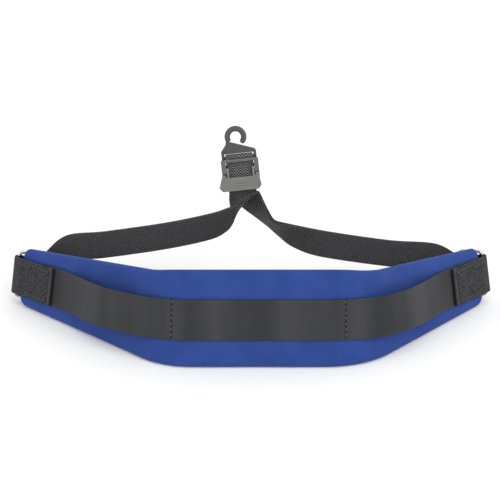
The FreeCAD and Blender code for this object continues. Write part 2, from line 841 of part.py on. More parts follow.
# Each route lists, from the slider to the ring, a point that the leg's middle passes
# and the direction of its width there: it leaves flat, rolls and then stands on edge.
LEFT_ROUTE = [
    ((-5.7, 36.2, 91.2), (1.00, -0.03, 0.12)),
    ((-7.3, 33.3, 86.9), (0.75, -0.35, 0.57)),
    ((-9.0, 31.5, 82.0), (0.48, -0.48, 0.74)),
    ((-11.9, 31.2, 77.2), (0.15, -0.41, 0.90)),
    ((-18.3, 33.5, 70.8), (-0.05, -0.19, 0.98)),
    ((-31.0, 38.0, 63.1), (-0.10, 0.06, 0.99)),
    ((-63.1, 42.8, 53.3), (0.00, 0.22, 0.97)),
    ((-107.6, 45.5, 44.9), (0.00, 0.25, 0.97)),
    ((-138.1, 46.8, 40.5), (0.06, 0.18, 0.98)),
]
RIGHT_ROUTE = [
    ((-5.4, 40.2, 89.2), (0.99, -0.05, 0.13)),
    ((-2.6, 43.4, 85.4), (0.90, -0.22, 0.38)),
    ((1.9, 42.2, 79.2), (0.72, -0.50, 0.47)),
    ((7.9, 40.2, 72.7), (0.47, -0.73, 0.50)),
    ((14.6, 39.2, 65.8), (0.22, -0.80, 0.56)),
    ((22.8, 40.0, 59.8), (0.18, -0.60, 0.78)),
    ((33.1, 41.6, 53.4), (0.12, -0.22, 0.97)),
    ((54.0, 43.8, 46.2), (0.06, 0.20, 0.98)),
    ((102.3, 46.4, 37.2), (0.00, 0.22, 0.97)),
    ((137.6, 48.6, 33.2), (-0.06, 0.20, 0.98)),
]
feature("left_leg", leg_shape(LEFT, LEFT_ROUTE))
feature("right_leg", leg_shape(RIGHT, RIGHT_ROUTE))

# ---------------------------------------------------------------- check and write

doc.recompute()
for obj in doc.Objects:
    if "Invalid" in obj.State or "Error" in obj.State:
        raise RuntimeError(f"{obj.Label} failed: {obj.State}")
for obj in parts:
    if obj.Shape.isNull() or not obj.Shape.isValid() or not obj.Shape.Solids:
        raise RuntimeError(f"{obj.Label} has no valid solid")

os.makedirs("parts", exist_ok=True)
everything = FreeCAD.BoundBox()
for obj in parts:
    obj.Shape.exportStep(f"parts/{obj.Label}.step")
    everything.add(obj.Shape.BoundBox)
    print(f"{obj.Label:22s} {obj.Shape.Volume:10.1f} mm3, {len(obj.Shape.Solids)} solids")
print("box", everything)
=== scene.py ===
"""Looks of a saxophone neck strap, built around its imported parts.

The collar is a foam pad between a blue jersey face and a dark lining, with a strip sewn
along its front and a webbing tab folded over each end. Doubled webbing runs from the
rings in those tabs to a moulded slider, and the hook hangs above it. Sizes are in
millimetres, along and across each piece, and points are turned into metres at the end.
"""
import bmesh
import bpy
import json
import math
import numpy as np
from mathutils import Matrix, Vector

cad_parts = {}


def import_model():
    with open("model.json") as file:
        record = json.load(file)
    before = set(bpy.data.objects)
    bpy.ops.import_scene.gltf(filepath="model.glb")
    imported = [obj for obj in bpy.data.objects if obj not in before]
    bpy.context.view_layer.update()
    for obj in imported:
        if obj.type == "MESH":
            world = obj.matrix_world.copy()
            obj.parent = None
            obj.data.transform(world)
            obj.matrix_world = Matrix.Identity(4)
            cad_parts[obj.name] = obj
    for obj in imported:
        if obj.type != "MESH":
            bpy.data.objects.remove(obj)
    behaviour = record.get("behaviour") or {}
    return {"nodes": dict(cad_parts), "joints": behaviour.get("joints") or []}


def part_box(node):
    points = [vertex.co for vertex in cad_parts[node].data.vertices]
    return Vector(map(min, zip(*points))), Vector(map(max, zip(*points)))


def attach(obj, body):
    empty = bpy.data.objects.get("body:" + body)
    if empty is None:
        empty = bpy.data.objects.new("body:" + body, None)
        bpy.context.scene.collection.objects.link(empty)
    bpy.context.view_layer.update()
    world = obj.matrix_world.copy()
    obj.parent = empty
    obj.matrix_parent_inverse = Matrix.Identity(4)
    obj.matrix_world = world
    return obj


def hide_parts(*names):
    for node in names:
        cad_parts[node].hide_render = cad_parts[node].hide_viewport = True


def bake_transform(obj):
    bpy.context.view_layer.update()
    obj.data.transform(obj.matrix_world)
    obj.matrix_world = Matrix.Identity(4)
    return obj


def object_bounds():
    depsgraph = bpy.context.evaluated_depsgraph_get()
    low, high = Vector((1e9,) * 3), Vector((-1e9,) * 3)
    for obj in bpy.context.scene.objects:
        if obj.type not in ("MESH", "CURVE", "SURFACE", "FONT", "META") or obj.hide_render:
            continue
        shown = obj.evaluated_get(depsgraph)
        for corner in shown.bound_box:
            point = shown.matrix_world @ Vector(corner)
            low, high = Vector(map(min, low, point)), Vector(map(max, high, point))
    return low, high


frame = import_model()
cad_low, cad_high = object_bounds()

MM = 0.001
LEFT, RIGHT = -1, 1
SIDES = (LEFT, RIGHT)
SIDE_NAMES = {LEFT: "left", RIGHT: "right"}
UP = np.array([0.0, 0.0, 1.0])
MERGE_DISTANCE = 1e-6


# ------------ numbers and meshes


def unit(vectors):
    vectors = np.asarray(vectors, float)
    return vectors / np.linalg.norm(vectors, axis=-1, keepdims=True)


def ease(value, low, high):
    """0 below low, 1 above high and smooth between them."""
    t = np.clip((value - low) / (high - low), 0, 1)
    return t * t * (3 - 2 * t)


def ridge(value, centre, width):
    """A smooth bump of height 1 round a centre."""
    return np.exp(-(((value - centre) / width) ** 2))


def ripple(a, b, seed, scale):
    """Slow smooth unevenness of about -1 to 1 over a surface, the same at each run."""
    total = np.zeros(np.broadcast(a, b).shape)
    draws = np.random.default_rng(seed)
    for _ in range(6):
        angle, phase = draws.uniform(0, 2 * math.pi, 2)
        wave = scale * draws.uniform(0.6, 1.7)
        along = a * math.cos(angle) + b * math.sin(angle)
        total = total + np.sin(2 * math.pi * along / wave + phase)
    return total / 3


def grid_faces(rows, columns, first, flip):
    """Quads of a grid of points that is stored row by row."""
    i, j = np.indices((rows - 1, columns - 1)).reshape(2, -1)
    a = first + i * columns + j
    quads = np.stack([a, a + 1, a + columns + 1, a + columns], axis=1)
    return quads[:, ::-1] if flip else quads


def tube_faces(rings, count, first=0):
    """Quads round a tube of rings that are stored one after another."""
    i, j = np.indices((rings - 1, count)).reshape(2, -1)
    a = first + i * count + j
    b = first + i * count + (j + 1) % count
    return np.stack([a, b, b + count, a + count], axis=1)


def mend(mesh, merged_within=None):
    """Turns a mesh's faces outwards, and joins the points that lie together."""
    mended = bmesh.new()
    mended.from_mesh(mesh)
    if merged_within:
        bmesh.ops.remove_doubles(mended, verts=mended.verts, dist=merged_within)
    bmesh.ops.recalc_face_normals(mended, faces=mended.faces)
    mended.to_mesh(mesh)
    mended.free()


def add_object(name, data):
    made = bpy.data.objects.new(name, data)
    bpy.context.scene.collection.objects.link(made)
    return made


def make_piece(name, points, faces, material, body, place):
    """A mesh object that rides on a CAD body; place gives each point's cloth position."""
    mesh = bpy.data.meshes.new(name)
    mesh.from_pydata((np.asarray(points) * MM).tolist(), [], [list(f) for f in faces])
    mesh.validate()
    mesh.shade_smooth()
    cloth = mesh.attributes.new("cloth", "FLOAT_VECTOR", "POINT")
    cloth.data.foreach_set("vector", np.asarray(place, np.float32).ravel())
    mesh.materials.append(material)
    piece = add_object(name, mesh)
    mend(mesh)
    if body:
        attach(piece, body)
    return piece


# ------------ lines of points


def travelled(points):
    """Distance along a line of points, at each of them."""
    return np.concatenate([[0], np.cumsum(np.linalg.norm(np.diff(points, axis=0), axis=1))])


def spread(points, count, *others):
    """A line at count even steps, and the vectors that go with it."""
    at = travelled(points)
    wanted = np.linspace(0, at[-1], count + 1)
    return [
        np.stack([np.interp(wanted, at, column) for column in values.T], axis=1)
        for values in (points, *others)
    ]


def resample(step, centres, *others):
    """The same, at steps of about a given length."""
    return spread(centres, max(int(travelled(centres)[-1] / step), 2), *others)


def smooth_line(points, count):
    """A smooth curve through a list of vectors, at count + 1 places."""
    points = np.asarray(points, float)
    padded = np.concatenate([[2 * points[0] - points[1]], points, [2 * points[-1] - points[-2]]])
    at = np.linspace(0, len(points) - 1, count + 1)
    i = np.minimum(at.astype(int), len(points) - 2)
    t = (at - i)[:, None]
    p0, p1, p2, p3 = (padded[i + k] for k in range(4))
    return 0.5 * (
        2 * p1 + (p2 - p0) * t + (2 * p0 - 5 * p1 + 4 * p2 - p3) * t**2
        + (3 * p1 - p0 - 3 * p2 + p3) * t**3
    )


def arc(centre, radius, first, last, count):
    """Points of an arc between two angles in degrees."""
    angles = np.radians(np.linspace(first, last, count + 1))
    return np.stack(
        [centre[0] + radius * np.cos(angles), centre[1] + radius * np.sin(angles)], axis=1
    )


# ------------ materials


class Shader:
    """A Principled material and short ways to add the nodes that feed it."""

    def __init__(self, name, roughness, specular=0.5, sheen=0.0, sheen_roughness=0.5, metal=0.0):
        self.material = bpy.data.materials.new(name)
        self.material.use_nodes = True
        self.tree = self.material.node_tree
        self.surface = self.tree.nodes["Principled BSDF"]
        fixed = {
            "Roughness": roughness, "Specular IOR Level": specular, "Sheen Weight": sheen,
            "Sheen Roughness": sheen_roughness, "Metallic": metal,
        }
        for socket, value in fixed.items():
            self.surface.inputs[socket].default_value = value

    def feed(self, socket, value):
        if isinstance(value, bpy.types.NodeSocket):
            self.tree.links.new(value, socket)
        elif value is not None:
            socket.default_value = value

    def node(self, kind, settings=None, **inputs):
        made = self.tree.nodes.new("ShaderNode" + kind)
        for key, value in (settings or {}).items():
            setattr(made, key, value)
        for key, value in inputs.items():
            self.feed(made.inputs[key.replace("_", " ")], value)
        return made

    def math(self, operation, *values):
        made = self.node("Math", {"operation": operation})
        for socket, value in zip(made.inputs, values):
            self.feed(socket, value)
        return made.outputs[0]

    def times(self, first, second):
        return self.math("MULTIPLY", first, second)

    def add(self, value, factor, base):
        """A value times a factor, added to a base."""
        return self.math("MULTIPLY_ADD", value, factor, base)

    def cloth(self):
        """Position on the cloth in millimetres, and its parts across and along."""
        place = self.node("Attribute", {"attribute_name": "cloth"})
        parts = self.node("SeparateXYZ", Vector=place.outputs["Vector"])
        return place.outputs["Vector"], parts.outputs["X"], parts.outputs["Y"]

    def solid(self):
        """Position in the object in metres."""
        return self.node("TexCoord").outputs["Object"]

    def noise(self, where, scale, detail=4.0, roughness=0.55):
        made = self.node("TexNoise", Vector=where, Scale=scale, Detail=detail, Roughness=roughness)
        return made.outputs["Fac"]

    def wave(self, value, pitch):
        """0 to 1 and back over each pitch."""
        turned = self.times(value, 2 * math.pi / pitch)
        return self.add(self.math("SINE", turned), 0.5, 0.5)

    def range(self, value, low, high, to_low=0.0, to_high=1.0):
        made = self.node(
            "MapRange", Value=value, From_Min=low, From_Max=high, To_Min=to_low, To_Max=to_high
        )
        return made.outputs[0]

    def mix(self, share, first, second):
        made = self.node("Mix", {"data_type": "RGBA"})
        sockets = [s for s in made.inputs if s.enabled]
        for socket, value in zip(sockets, (share, first, second)):
            if isinstance(value, tuple):
                value = (*value, 1.0)
            self.feed(socket, value)
        return next(s for s in made.outputs if s.enabled)

    def finish(self, colour, roughness=None, height=None, distance=0.1):
        """Links what varies; distance is the relief's depth in millimetres."""
        self.feed(self.surface.inputs["Base Color"], colour)
        self.feed(self.surface.inputs["Roughness"], roughness)
        if height is not None:
            relief = self.node("Bump", Height=height, Distance=distance * MM, Strength=1.0)
            self.feed(self.surface.inputs["Normal"], relief.outputs["Normal"])
        return self.material


KNIT_COURSE = 0.62
KNIT_WALE = 0.5
TWILL_PITCH = 0.42
WEAVE_PITCH = 2.0
WEAVE_STRIPE = 5.0
WEAVE_SLOPE = 1.0
WEAVE_RELIEF = 0.07
WEBBING_WIDTH = 20.0
SELVAGE_START = WEBBING_WIDTH / 2 - 0.9
SELVAGE_PITCH = 0.9
TAB_RIB = 1.6
TAB_YARN = 1.9
LIP_LENGTH = 4.2
SEAM_PITCH = 4.05
PLY_PITCH = 0.5


def jersey_material(name, dark, light):
    """Fine knit: rows of small loops, a little uneven in colour."""
    shader = Shader(name, 0.85, specular=0.15, sheen=0.10, sheen_roughness=0.45)
    where, across, along = shader.cloth()
    loops = shader.times(shader.wave(along, KNIT_COURSE), shader.wave(across, KNIT_WALE))
    patches = shader.noise(where, 0.045, 5.0)
    fuzz = shader.noise(where, 2.2, 3.0, 0.7)
    share = shader.add(loops, 0.35, shader.range(patches, 0.3, 0.7, 0.0, 0.5))
    share = shader.add(fuzz, 0.25, share)
    height = shader.add(fuzz, 0.5, loops)
    colour = shader.mix(share, dark, light)
    return shader.finish(colour, shader.range(fuzz, 0.2, 0.8, 0.7, 0.9), height, 0.09)


def foam_material():
    shader = Shader("closed_cell_foam", 0.95, specular=0.2)
    where = shader.solid()
    cells = shader.node("TexVoronoi", Vector=where, Scale=2600.0).outputs["Distance"]
    tone = shader.mix(shader.noise(where, 400.0), (0.010, 0.012, 0.018), (0.03, 0.034, 0.045))
    return shader.finish(tone, None, cells, 0.15)


def strip_material(seams):
    """Satin band with a fine twill grain, broad bands of painted sheen along it, and painted shade in
    the dimples between the stitches along its seams.
    """
    shader = Shader("satin_strip", 0.5, specular=0.25, sheen=0.02, sheen_roughness=0.35)
    where, across, along = shader.cloth()
    twill = shader.wave(shader.math("ADD", across, along), TWILL_PITCH)
    stretched = shader.node("Mapping", Vector=where, Scale=(0.5, 0.06, 1.0)).outputs[0]
    streaks = shader.noise(stretched, 0.8, 5.0)
    # Painted sheen: broad lighter and darker bands along the strip stand in for light falling on its
    # slack folds.
    sheen_band_place = shader.node("Mapping", Vector=where, Scale=(0.1, 1.0, 0.0)).outputs[0]
    painted_sheen_bands = shader.range(shader.noise(sheen_band_place, 0.03, 2.0), 0.38, 0.62)
    grain = shader.noise(where, 2.6, 4.0, 0.65)
    share = shader.add(streaks, 0.3, shader.times(grain, 0.3))
    share = shader.add(twill, 0.1, share)
    share = shader.add(painted_sheen_bands, 0.45, share)
    cloth = shader.mix(share, (0.008, 0.009, 0.012), (0.047, 0.047, 0.050))
    # Painted shade: near-black dashes between the stitches along each seam stand in for shade in the
    # dimples the thread pulls in.
    seam_dimple_shade = 0.0
    for seam in seams:
        beside = shader.math("ABSOLUTE", shader.math("SUBTRACT", along, seam))
        near = shader.range(beside, 0.45, 0.85, 1.0, 0.0)
        between = shader.range(shader.wave(across, SEAM_PITCH), 0.45, 0.7, 1.0, 0.0)
        seam_dimple_shade = shader.math("ADD", seam_dimple_shade, shader.times(near, between))
    height = shader.add(grain, 0.8, twill)
    return shader.finish(
        shader.mix(seam_dimple_shade, cloth, (0.003, 0.003, 0.004)),
        shader.range(streaks, 0.3, 0.7, 0.42, 0.58), height, 0.05,
    )


def herringbone_material(name, crest_highlight_tone):
    """Twill ribs that turn back at each stripe, with plain selvages and painted highlights on the rib
    crests.
    """
    shader = Shader(name, 0.62, specular=0.3, sheen=0.05)
    where, across, along = shader.cloth()
    from_edge = shader.math("ADD", across, WEBBING_WIDTH)
    stripe = shader.math("PINGPONG", from_edge, WEAVE_STRIPE)
    phase = shader.add(stripe, WEAVE_SLOPE, along)
    rib = shader.wave(phase, WEAVE_PITCH)
    plain = shader.wave(along, SELVAGE_PITCH)
    edge = shader.math("GREATER_THAN", shader.math("ABSOLUTE", across), SELVAGE_START)
    weave = shader.add(edge, shader.math("SUBTRACT", plain, rib), rib)
    fibres = shader.noise(where, 2.4, 4.0, 0.7)
    patches = shader.noise(where, 0.09, 3.0)
    # Painted highlight: the rib crests are painted lighter than the base between them.
    crest = shader.math("POWER", weave, 2.6)
    lit = shader.times(crest, shader.range(fibres, 0.35, 0.65, 0.35, 1.1))
    base = shader.mix(patches, (0.006, 0.006, 0.007), (0.012, 0.012, 0.014))
    colour = shader.mix(lit, base, crest_highlight_tone)
    height = shader.add(fibres, 0.6, weave)
    return shader.finish(colour, shader.range(fibres, 0.2, 0.8, 0.55, 0.75), height, 0.12)


def tab_material():
    """Coarse woven tape: thick ribs across it, made of short knobbly yarns, with painted highlights
    on the knob tops and the raised lip and a painted shadow at its free end.
    """
    shader = Shader("coarse_webbing", 0.65, specular=0.3, sheen=0.05)
    where, across, along = shader.cloth()
    ribs = shader.wave(along, TAB_RIB)
    yarns = shader.wave(across, TAB_YARN)
    knobs = shader.times(ribs, shader.add(yarns, 0.75, 0.25))
    fibres = shader.noise(where, 2.2, 4.0, 0.7)
    clumps = shader.noise(where, 0.5, 2.0)
    knobs = shader.times(knobs, shader.range(clumps, 0.35, 0.65, 0.35, 1.35))
    # Painted highlight: the tops of the knobs are painted lighter than the hollows between them.
    lit = shader.times(knobs, shader.range(fibres, 0.3, 0.7, 0.4, 1.1))
    # Painted highlight: the raised lip at the free end is painted lighter, where it catches the
    # light.
    lip_highlight = shader.range(along, LIP_LENGTH - 0.6, LIP_LENGTH, 1.0, 0.0)
    lit = shader.add(lip_highlight, 0.12, lit)
    woven = shader.mix(lit, (0.003, 0.0035, 0.005), (0.105, 0.105, 0.110))
    # Painted shadow: the last millimetre at the free end is near black, standing in for the shade
    # where the raised lip stands off the strip.
    painted_end_shadow = shader.range(along, 0.5, 0.9, 1.0, 0.0)
    height = shader.add(fibres, 0.7, knobs)
    return shader.finish(
        shader.mix(painted_end_shadow, woven, (0.002, 0.002, 0.002)),
        shader.range(fibres, 0.2, 0.8, 0.55, 0.8), height, 0.2,
    )


def thread_material(name, crown_grey_and_glint):
    """Bonded sewing thread: two plies twisted along each stitch; its own grey is lightened on the ply
    crests by a painted glint.
    """
    shader = Shader(name, 0.5, specular=0.3, sheen=0.03)
    where, across, along = shader.cloth()
    plies = shader.wave(shader.math("ADD", across, along), PLY_PITCH)
    fibres = shader.noise(where, 4.0, 3.0)
    # Partly the thread's own grey, partly a painted glint: the ply crests are painted towards the
    # lighter crown colour.
    lit = shader.add(fibres, 0.4, shader.times(plies, 0.6))
    colour = shader.mix(lit, (0.010, 0.010, 0.011), crown_grey_and_glint)
    return shader.finish(colour, None, plies, 0.08)


def plastic_material(name, dark, light, edge_highlight_tone, roughness):
    """Moulded nylon: fine spark-erosion grain, flow tone and a painted highlight on its convex edges.
    """
    shader = Shader(name, roughness, specular=0.45)
    where = shader.solid()
    grain = shader.noise(where, 3200.0, 3.0, 0.6)
    flow = shader.noise(where, 160.0, 4.0)
    scuff_and_highlight_noise = shader.noise(where, 700.0, 6.0, 0.75)
    # Painted highlight: convex edges are painted much lighter, broken up by noise, where rounded
    # edges would catch the light.
    edges = shader.node("NewGeometry").outputs["Pointiness"]
    painted_edge_highlight = shader.times(shader.range(edges, 0.505, 0.56), scuff_and_highlight_noise)
    moulded = shader.mix(flow, dark, light)
    colour = shader.mix(painted_edge_highlight, moulded, edge_highlight_tone)
    gloss = shader.range(scuff_and_highlight_noise, 0.3, 0.7, roughness - 0.07, roughness + 0.08)
    return shader.finish(colour, gloss, grain, 0.06)


def steel_material(name, bright, dull, roughness):
    """Nickel-plated steel with fine rubbing marks and dull patches."""
    shader = Shader(name, roughness, metal=1.0)
    where = shader.solid()
    patches = shader.noise(where, 300.0, 5.0, 0.65)
    marks = shader.noise(where, 2400.0, 4.0, 0.7)
    colour = shader.mix(shader.range(patches, 0.35, 0.65), dull, bright)
    gloss = shader.range(patches, 0.3, 0.7, roughness + 0.14, roughness)
    return shader.finish(colour, gloss, marks, 0.015)


JERSEY = jersey_material("blue_jersey", (0.015, 0.042, 0.200), (0.032, 0.074, 0.300))
LINING = jersey_material("dark_lining", (0.011, 0.012, 0.015), (0.030, 0.031, 0.036))
FOAM = foam_material()
# Two copies of one webbing: the loop in the slider gets a brighter painted highlight on its crests
# than the legs.
WEBBING = herringbone_material("herringbone_webbing", (0.150, 0.150, 0.155))
LOOP_WEBBING = herringbone_material("herringbone_loop", (0.30, 0.30, 0.31))
TAB_WEBBING = tab_material()
SEAM_THREAD = thread_material("seam_thread", (0.17, 0.17, 0.175))
TAB_THREAD = thread_material("tab_thread", (0.115, 0.115, 0.12))
# The third colour of each plastic is its painted edge highlight.
FRAME_PLASTIC = plastic_material(
    "frame_plastic", (0.090, 0.090, 0.090), (0.125, 0.125, 0.124), (0.28, 0.28, 0.27), 0.42
)
LEVER_PLASTIC = plastic_material(
    "lever_plastic", (0.135, 0.135, 0.132), (0.185, 0.185, 0.18), (0.36, 0.36, 0.35), 0.44
)
HOOK_PLASTIC = plastic_material(
    "hook_plastic", (0.040, 0.040, 0.041), (0.070, 0.070, 0.070), (0.20, 0.20, 0.19), 0.4
)
RING_STEEL = steel_material("ring_steel", (0.66, 0.66, 0.65), (0.36, 0.36, 0.36), 0.2)
PIN_STEEL = steel_material("pin_steel", (0.60, 0.60, 0.60), (0.42, 0.42, 0.42), 0.24)


def repaint(node, material):
    """A new material on a CAD node that keeps its own shape."""
    painted = frame["nodes"][node]
    painted.data.materials.clear()
    painted.data.materials.append(material)


repaint("left_ring", RING_STEEL)
repaint("right_ring", RING_STEEL)
repaint("pivot_pins", PIN_STEEL)

# ------------ shape of the collar

CENTRE_HALF = 63.0
BEND_START = 48.0
BEND_RADIUS = {LEFT: 55.6, RIGHT: 67.0}
BEND_ANGLE = {LEFT: math.radians(40.8), RIGHT: math.radians(46.3)}
ARM_LENGTH = {LEFT: 149.0, RIGHT: 144.0}
CENTRE_HEIGHT = 72.0
END_HEIGHT = 44.3
LEAN = math.radians(11.1)
PAD_HALF = 2.75
PAD_MIDDLE = -PAD_HALF
CLOTH = 0.5
KINK = 14.0


def pick(distance, by_side):
    return np.where(distance < 0, by_side[LEFT], by_side[RIGHT])


def reach_of(side):
    """How far the collar's lower edge goes to one side and back, at its end."""
    radius, angle = BEND_RADIUS[side], BEND_ANGLE[side]
    straight = CENTRE_HALF + ARM_LENGTH[side] - BEND_START - radius * angle
    return BEND_START + radius * math.sin(angle) + straight * math.cos(angle)


jersey_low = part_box("front_jersey")[0] / MM
COLLAR_X = jersey_low.x + reach_of(LEFT)
COLLAR_Y = jersey_low.y


def edge_frame(distance):
    """Foot, tangent, rib and normal of the collar's face at distances along it."""
    distance = np.asarray(distance, float)
    side = np.where(distance < 0, -1.0, 1.0)
    radius = pick(distance, BEND_RADIUS)
    along = np.maximum(np.abs(distance) - BEND_START, 0)
    turn = np.minimum(along / radius, pick(distance, BEND_ANGLE))
    straight = np.maximum(along - radius * turn, 0)
    x = np.minimum(np.abs(distance), BEND_START) + radius * np.sin(turn) + straight * np.cos(turn)
    y = radius * (1 - np.cos(turn)) + straight * np.sin(turn)
    flat = np.zeros_like(x)
    foot = np.stack([COLLAR_X + side * x, COLLAR_Y + y, flat], axis=-1)
    tangent = np.stack([np.cos(turn), side * np.sin(turn), flat], axis=-1)
    outward = np.cross(tangent, UP)
    rib = UP * math.cos(LEAN) - outward * math.sin(LEAN)
    normal = outward * math.cos(LEAN) + UP * math.sin(LEAN)
    return foot, tangent, rib, normal


def on_collar(distance, up, depth):
    """Points at a distance along the collar, up its rib and out from its face."""
    foot, _, rib, normal = edge_frame(distance)
    return foot + rib * np.asarray(up)[..., None] + normal * np.asarray(depth)[..., None]


def collar_end(side):
    return side * (CENTRE_HALF + ARM_LENGTH[side])


def arm_share(distance):
    """0 over the collar's centre, rising to 1 at its end, with an eased start."""
    past = np.abs(distance) - CENTRE_HALF
    eased = np.where(past < KINK, (np.maximum(past + KINK, 0)) ** 2 / (4 * KINK), past)
    return eased / pick(distance, ARM_LENGTH)


def collar_height(distance):
    return CENTRE_HEIGHT + (END_HEIGHT - CENTRE_HEIGHT) * arm_share(distance)


STRIP_END_HEIGHT = 22.5


def strip_height(distance):
    """Height of the strip's centre line up the rib."""
    middle = CENTRE_HEIGHT / 2
    return middle + (STRIP_END_HEIGHT - middle) * arm_share(distance)


# ------------ the pad's three layers

EDGE_FOOT = 0.62
LOW_CORNER = 7.5
TOP_CORNER = 7.0
PAD_COLUMNS = 270
PAD_ROWS = 34
EDGE_STEPS = 9
CREST_STEPS = 160
SEAM_DENT_WIDTH = 3.2
TOP_LEAD = 20.0
SEAM_DIP = 0.8
TAB_DIP = 0.45
FOAM_LUMPS = 0.14
FOAM_INSET = CLOTH * 0.9
JERSEY_WRAP, LINING_WRAP = -12.0, 30.0


def round_corner(before, corner, after, radius, count=16):
    """Points of the arc that rounds a corner of an outline."""
    corner = np.asarray(corner, float)
    come, go = unit(np.subtract(before, corner)), unit(np.subtract(after, corner))
    half = math.acos(float(np.clip(come @ go, -1, 1))) / 2
    centre = corner + unit(come + go) * radius / math.sin(half)
    start = corner + come * radius / math.tan(half) - centre
    end = corner + go * radius / math.tan(half) - centre
    first = math.atan2(start[1], start[0])
    turn = (math.atan2(end[1], end[0]) - first + math.pi) % (2 * math.pi) - math.pi
    angles = first + turn * np.linspace(0, 1, count + 1)
    return centre + radius * np.stack([np.cos(angles), np.sin(angles)], axis=1)


def pad_outline():
    """The pad's four sides, as points of distance along and height up the rib."""
    left, right = collar_end(LEFT), collar_end(RIGHT)
    low_left, low_right = (left, EDGE_FOOT), (right, EDGE_FOOT)
    high_left, high_right, inner_left, inner_right = (
        (at, float(collar_height(at))) for at in (left, right, left + TOP_LEAD, right - TOP_LEAD)
    )
    arcs = [
        round_corner(high_left, low_left, low_right, LOW_CORNER),
        round_corner(low_left, low_right, high_right, LOW_CORNER),
        round_corner(low_right, high_right, inner_right, TOP_CORNER),
        round_corner(inner_left, high_left, low_left, TOP_CORNER),
    ]
    half = len(arcs[0]) // 2
    ridge_line = np.linspace(arcs[3][0][0] + 1, arcs[2][-1][0] - 1, CREST_STEPS)
    crest = np.stack([ridge_line, collar_height(ridge_line)], axis=1)
    bottom = np.concatenate([arcs[0][half:], arcs[1][: half + 1]])
    end = np.concatenate([arcs[1][half:], arcs[2][: half + 1]])
    top = np.concatenate([arcs[2][half:], crest[::-1], arcs[3][: half + 1]])
    start = np.concatenate([arcs[3][half:], arcs[0][: half + 1]])
    return [
        spread(line, count)[0]
        for line, count in zip((bottom, end, top, start), (PAD_COLUMNS, PAD_ROWS) * 2)
    ]


def pad_grid():
    """The outline's loop with its outward normals, and the grid that fills it."""
    loop = np.concatenate([line[:-1] for line in pad_outline()])
    along = unit(np.roll(loop, -1, axis=0) - np.roll(loop, 1, axis=0))
    out = np.stack([along[:, 1], -along[:, 0]], axis=1)
    inner = loop - out * PAD_HALF
    n, m = PAD_COLUMNS, PAD_ROWS
    low = inner[: n + 1]
    far = inner[n : n + m + 1]
    high = inner[n + m : 2 * n + m + 1][::-1]
    near = np.concatenate([inner[2 * n + m :], inner[:1]])[::-1]
    a = np.linspace(0, 1, n + 1)[None, :, None]
    b = np.linspace(0, 1, m + 1)[:, None, None]
    grid = (1 - b) * low[None] + b * high[None] + (1 - a) * near[:, None] + a * far[:, None]
    grid -= (1 - a) * (1 - b) * low[0] + a * (1 - b) * low[-1]
    grid -= (1 - a) * b * high[0] + a * b * high[-1]
    return inner, out, grid


def grid_border():
    """Numbers of the grid's border points, in the order of the outline's loop."""
    n, m = PAD_COLUMNS + 1, PAD_ROWS + 1
    at = np.arange(n * m).reshape(m, n)
    return np.concatenate([at[0, :-1], at[:-1, -1], at[-1, :0:-1], at[:0:-1, 0]])


def pad_relief(distance, up):
    """How far the pad's faces are pressed in by its stitching, and lie uneven."""
    from_strip = np.abs(up - strip_height(distance))
    pressed = np.zeros_like(from_strip)
    for side in SIDES:
        end = abs(collar_end(side))
        seam = ridge(distance, side * CENTRE_HALF, SEAM_DENT_WIDTH)
        under_tab = ease(side * distance, end - 38, end - 30)
        pressed = pressed + SEAM_DIP * seam * (1 - ease(from_strip, 12, 19))
        pressed = pressed + TAB_DIP * under_tab * (1 - ease(from_strip, 13, 18))
    return pressed + FOAM_LUMPS * ripple(distance, up, seed=3, scale=42.0)


PAD_INNER, PAD_OUT, PAD_GRID = pad_grid()
PAD_BORDER = grid_border()


def pad_surface(facing, inset, last_angle):
    """Points of one face of the pad and of its rounded edge, as far as an angle."""
    half = PAD_HALF - inset
    distance, up = PAD_GRID[..., 0].ravel(), PAD_GRID[..., 1].ravel()
    depth = PAD_MIDDLE + facing * (half - pad_relief(distance, up))
    points = [on_collar(distance, up, depth)]
    places = [np.stack([distance, up, depth], axis=1)]
    for k in range(1, EDGE_STEPS + 1):
        angle = math.radians(90 + (last_angle - 90) * k / EDGE_STEPS)
        ring = PAD_INNER + PAD_OUT * half * math.cos(angle)
        press = pad_relief(ring[:, 0], ring[:, 1]) * max(math.sin(angle), 0)
        level = PAD_MIDDLE + facing * (half * math.sin(angle) - press)
        points.append(on_collar(ring[:, 0], ring[:, 1], level))
        wrapped = ring + PAD_OUT * half * (math.pi / 2 - angle) * 0.6
        places.append(np.stack([wrapped[:, 0], wrapped[:, 1], level], axis=1))
    return np.concatenate(points), np.concatenate(places)


def bridge(first, second):
    """Quads between two rings of points."""
    return np.stack([first, np.roll(first, -1), np.roll(second, -1), second], axis=1)


def pad_faces(first, flip):
    """Quads of such a face, and the numbers of its last ring of points."""
    rows, columns = PAD_ROWS + 1, PAD_COLUMNS + 1
    faces = [grid_faces(rows, columns, first, flip)]
    ring = first + PAD_BORDER
    count = len(ring)
    for k in range(EDGE_STEPS):
        following = first + rows * columns + k * count + np.arange(count)
        quads = bridge(ring, following)
        faces.append(quads[:, ::-1] if not flip else quads)
        ring = following
    return np.concatenate(faces), ring


def layer(name, first, second, material):
    """A closed piece between two surfaces of the pad, joined round its edge."""
    points, places = (np.concatenate(pair) for pair in zip(first, second))
    first_faces, first_ring = pad_faces(0, False)
    second_faces, second_ring = pad_faces(len(first[0]), True)
    faces = np.concatenate([first_faces, second_faces, bridge(first_ring, second_ring)])
    return make_piece(name, points, faces, material, "collar", places)


def cloth_shell(name, facing, wrap, material):
    """A cloth face bonded to the foam and pinched round its edge."""
    outer, inner = pad_surface(facing, 0.0, wrap), pad_surface(facing, CLOTH, wrap)
    return layer(name, outer, inner, material)


